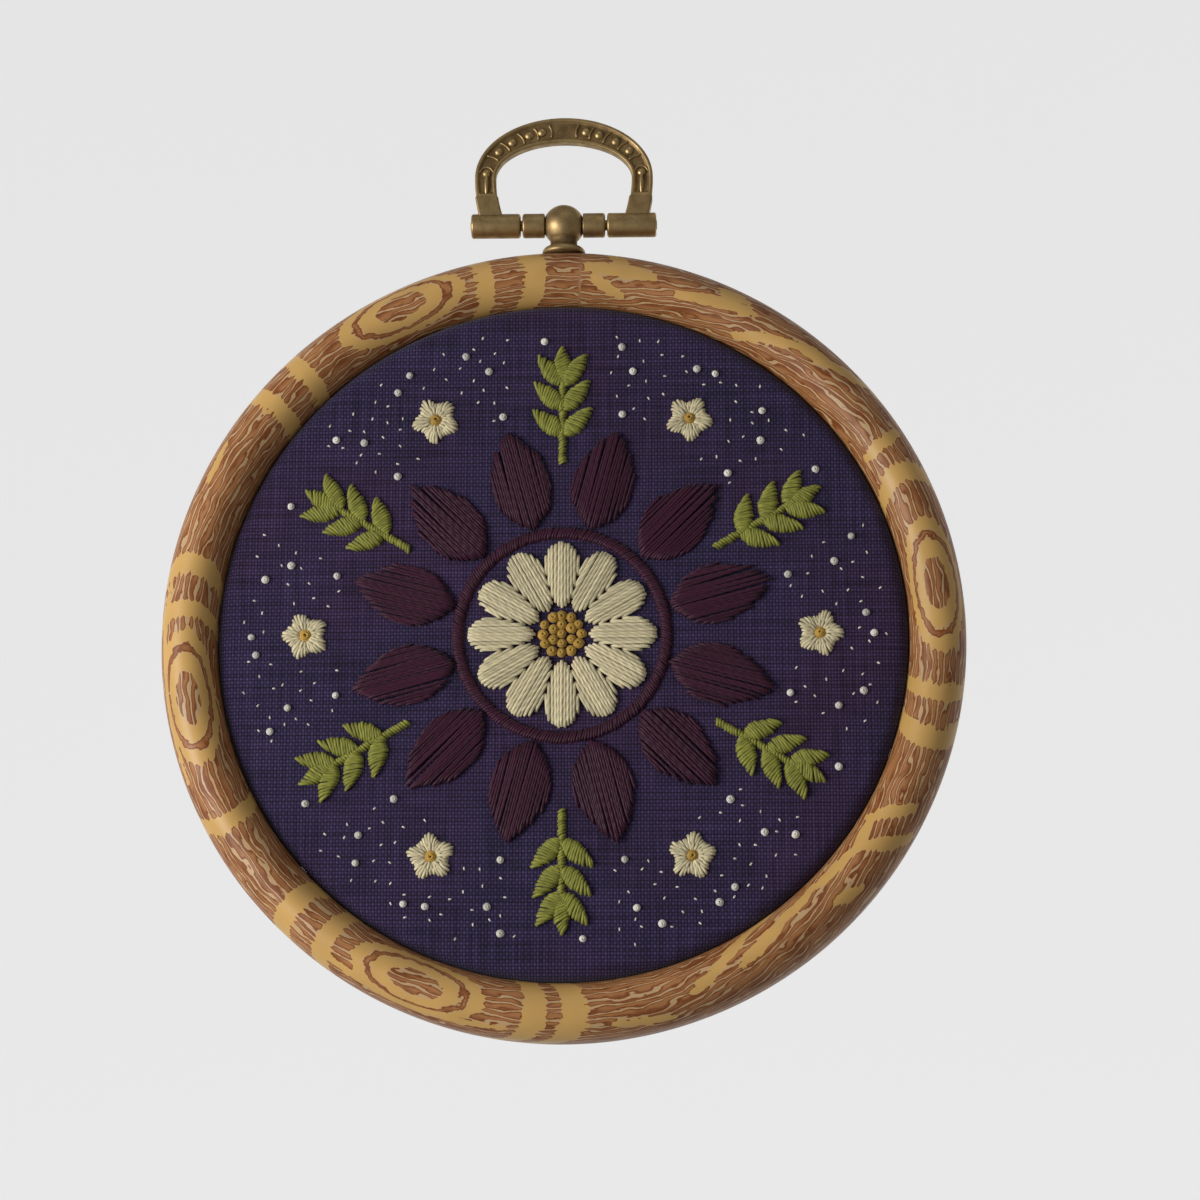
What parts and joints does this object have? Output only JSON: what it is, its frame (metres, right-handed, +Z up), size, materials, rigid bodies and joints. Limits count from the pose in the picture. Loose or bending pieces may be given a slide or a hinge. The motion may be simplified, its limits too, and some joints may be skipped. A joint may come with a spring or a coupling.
{
  "type": "hoop embroidery art with its hanging hoop",
  "caption": "Small round wall piece: dark cloth held drum-tight in a woodgrain vinyl hoop, embroidered with a flower, leaves and sprigs, hung from a hinged bronze loop.",
  "frame": {"origin": "inside top of the hanging loop, where a nail or hook carries it, in the middle plane of the hoop", "axes": "+X to the right of a person facing the worked side, +Z up, the worked side faces -Y and the flat back of the hoop +Y"},
  "size_m": [0.102, 0.0094, 0.1208],
  "materials": {
    "woodgrain_vinyl": "satin, printed woodgrain",
    "ring_plastic": "plain moulded",
    "violet_cloth": "plain weave",
    "cream_thread": "stranded cotton",
    "gold_thread": "stranded cotton",
    "plum_thread": "stranded cotton",
    "olive_thread": "stranded cotton",
    "aged_bronze": "antiqued, dark in the hollows"
  },
  "bodies": {
    "hanger": {"bail": "aged_bronze", "pin": "aged_bronze"},
    "hoop": {"outer_ring": "woodgrain_vinyl", "inner_ring": "ring_plastic", "cloth": "violet_cloth", "flower_petals": "cream_thread", "flower_middle": "gold_thread", "leaf_star": "plum_thread", "sprig_1": "olive_thread", "sprig_2": "olive_thread", "sprig_3": "olive_thread", "sprig_4": "olive_thread", "sprig_5": "olive_thread", "sprig_6": "olive_thread", "blossom_1": "cream_thread", "blossom_2": "cream_thread", "blossom_3": "cream_thread", "blossom_4": "cream_thread", "blossom_5": "cream_thread", "blossom_6": "cream_thread", "hanger_post": "aged_bronze"}
  },
  "joints": [
    {"name": "loop_hinge", "type": "hinge", "parent": "hanger", "child": "hoop", "pos_m": [0, 0, -0.0113], "axis": [1, 0, 0], "range_deg": [-140, 135]}
  ]
}
